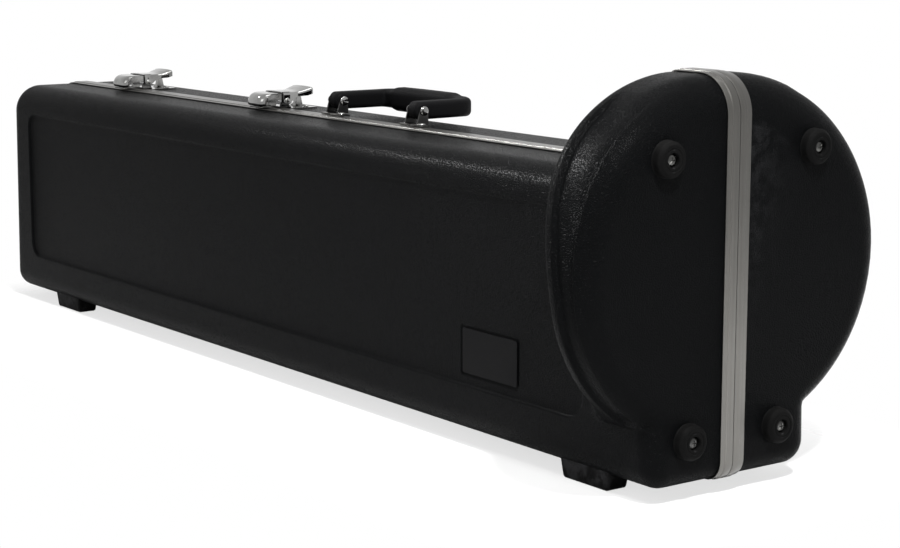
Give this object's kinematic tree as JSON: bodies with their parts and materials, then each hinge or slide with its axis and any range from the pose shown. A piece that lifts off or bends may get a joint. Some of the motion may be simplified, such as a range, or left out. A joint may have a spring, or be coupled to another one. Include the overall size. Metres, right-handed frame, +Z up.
{
  "type": "trombone case",
  "caption": "Straight trombone case: moulded shells hinged at the spine, a metal valance, draw latches, a folding handle and fitted liners.",
  "frame": {"origin": "middle of the bottom of the bounding box, where the feet stand", "axes": "+X along the case to the bell end, +Z up, +Y towards the base half with the handle, -Y towards the lid half"},
  "size_m": [1.0182, 0.2818, 0.2909],
  "materials": {
    "black_abs": "moulded black ABS with a fine leather grain and a soft sheen",
    "satin_aluminium": "satin extruded aluminium with lines along its length",
    "chrome_plate": "bright plated pressed steel",
    "plated_steel": "plated steel, softly brushed",
    "black_rubber": "black rubber",
    "handle_plastic": "black moulded handle plastic",
    "plush_liner": "dark plush over foam",
    "liner_board": "plush covered board",
    "keeper_plastic": "black plastic",
    "label_plate": "bare black plate"
  },
  "bodies": {
    "base": {"accessory_hinge_pin": "plated_steel", "accessory_hinge_strip": "plated_steel", "bumper_base_lower": "black_rubber", "bumper_base_upper": "black_rubber", "bumper_screw_base_lower": "plated_steel", "bumper_screw_base_upper": "plated_steel", "foot_base_left": "black_rubber", "foot_base_right": "black_rubber", "handle_bracket_left": "plated_steel", "handle_bracket_right": "plated_steel", "handle_pin_left": "chrome_plate", "handle_pin_right": "chrome_plate", "handle_screw_left": "plated_steel", "handle_screw_right": "plated_steel", "hinge_leaf_base_left": "plated_steel", "hinge_leaf_base_middle": "plated_steel", "hinge_leaf_base_right": "plated_steel", "hinge_pin_left": "plated_steel", "hinge_pin_middle": "plated_steel", "hinge_pin_right": "plated_steel", "latch_pin_left": "plated_steel", "latch_pin_right": "plated_steel", "latch_plate_left": "chrome_plate", "latch_plate_right": "chrome_plate", "latch_rivet_left_a": "plated_steel", "latch_rivet_left_b": "plated_steel", "latch_rivet_right_a": "plated_steel", "latch_rivet_right_b": "plated_steel", "liner_base": "plush_liner", "shell_base": "black_abs", "valance_base": "satin_aluminium"},
    "lid": {"bumper_lid_lower": "black_rubber", "bumper_lid_upper": "black_rubber", "bumper_screw_lid_lower": "plated_steel", "bumper_screw_lid_upper": "plated_steel", "foot_lid_left": "black_rubber", "foot_lid_right": "black_rubber", "hinge_leaf_lid_left": "plated_steel", "hinge_leaf_lid_middle": "plated_steel", "hinge_leaf_lid_right": "plated_steel", "keeper_left_screw": "plated_steel", "keeper_right_screw": "plated_steel", "label_plate": "label_plate", "latch_strike_left": "chrome_plate", "latch_strike_right": "chrome_plate", "liner_lid": "plush_liner", "shell_lid": "black_abs", "valance_lid": "satin_aluminium"},
    "handle": {"handle": "handle_plastic"},
    "latch_lever_left": {"latch_hook_pin_left": "plated_steel", "latch_lever_left": "chrome_plate"},
    "latch_hook_left": {"latch_hook_left": "chrome_plate"},
    "latch_lever_right": {"latch_hook_pin_right": "plated_steel", "latch_lever_right": "chrome_plate"},
    "latch_hook_right": {"latch_hook_right": "chrome_plate"},
    "accessory_flap": {"accessory_flap": "liner_board", "accessory_knob": "keeper_plastic"},
    "keeper_left": {"keeper_left": "keeper_plastic"},
    "keeper_right": {"keeper_right": "keeper_plastic"}
  },
  "joints": [
    {"name": "lid_hinge", "type": "hinge", "parent": "base", "child": "lid", "pos_m": [-0.0032, -0.00436, 0.0058], "axis": [1, 0, 0], "range_deg": [0, 105]},
    {"name": "handle_pivot", "type": "hinge", "parent": "base", "child": "handle", "pos_m": [0.0488, 0.00914, 0.236], "axis": [1, 0, 0], "range_deg": [0, 95]},
    {"name": "latch_lever_left_pivot", "type": "hinge", "parent": "base", "child": "latch_lever_left", "pos_m": [-0.3712, 0.00564, 0.2305], "axis": [1, 0, 0], "range_deg": [0, 95]},
    {"name": "latch_hook_left_pivot", "type": "hinge", "parent": "latch_lever_left", "child": "latch_hook_left", "pos_m": [-0.3712, 0.00564, 0.2341], "axis": [1, 0, 0], "range_deg": [-104.5, 0]},
    {"name": "latch_lever_right_pivot", "type": "hinge", "parent": "base", "child": "latch_lever_right", "pos_m": [-0.1062, 0.00564, 0.2305], "axis": [1, 0, 0], "range_deg": [0, 95]},
    {"name": "latch_hook_right_pivot", "type": "hinge", "parent": "latch_lever_right", "child": "latch_hook_right", "pos_m": [-0.1062, 0.00564, 0.2341], "axis": [1, 0, 0], "range_deg": [-104.5, 0]},
    {"name": "accessory_flap_hinge", "type": "hinge", "parent": "base", "child": "accessory_flap", "pos_m": [-0.2842, -0.00026, 0.163], "axis": [-1, 0, 0], "range_deg": [0, 100]},
    {"name": "keeper_right_turn", "type": "hinge", "parent": "lid", "child": "keeper_right", "pos_m": [0.1588, -0.01886, 0.046], "axis": [0, -1, 0], "range_deg": [0, 90]},
    {"name": "keeper_left_turn", "type": "hinge", "parent": "lid", "child": "keeper_left", "pos_m": [-0.1192, -0.01886, 0.046], "axis": [0, -1, 0], "range_deg": [0, 90]}
  ],
  "couplings": [
    {"joint": "latch_hook_left_pivot", "follows": "latch_lever_left_pivot", "ratio": -1.1},
    {"joint": "latch_hook_right_pivot", "follows": "latch_lever_right_pivot", "ratio": -1.1}
  ]
}
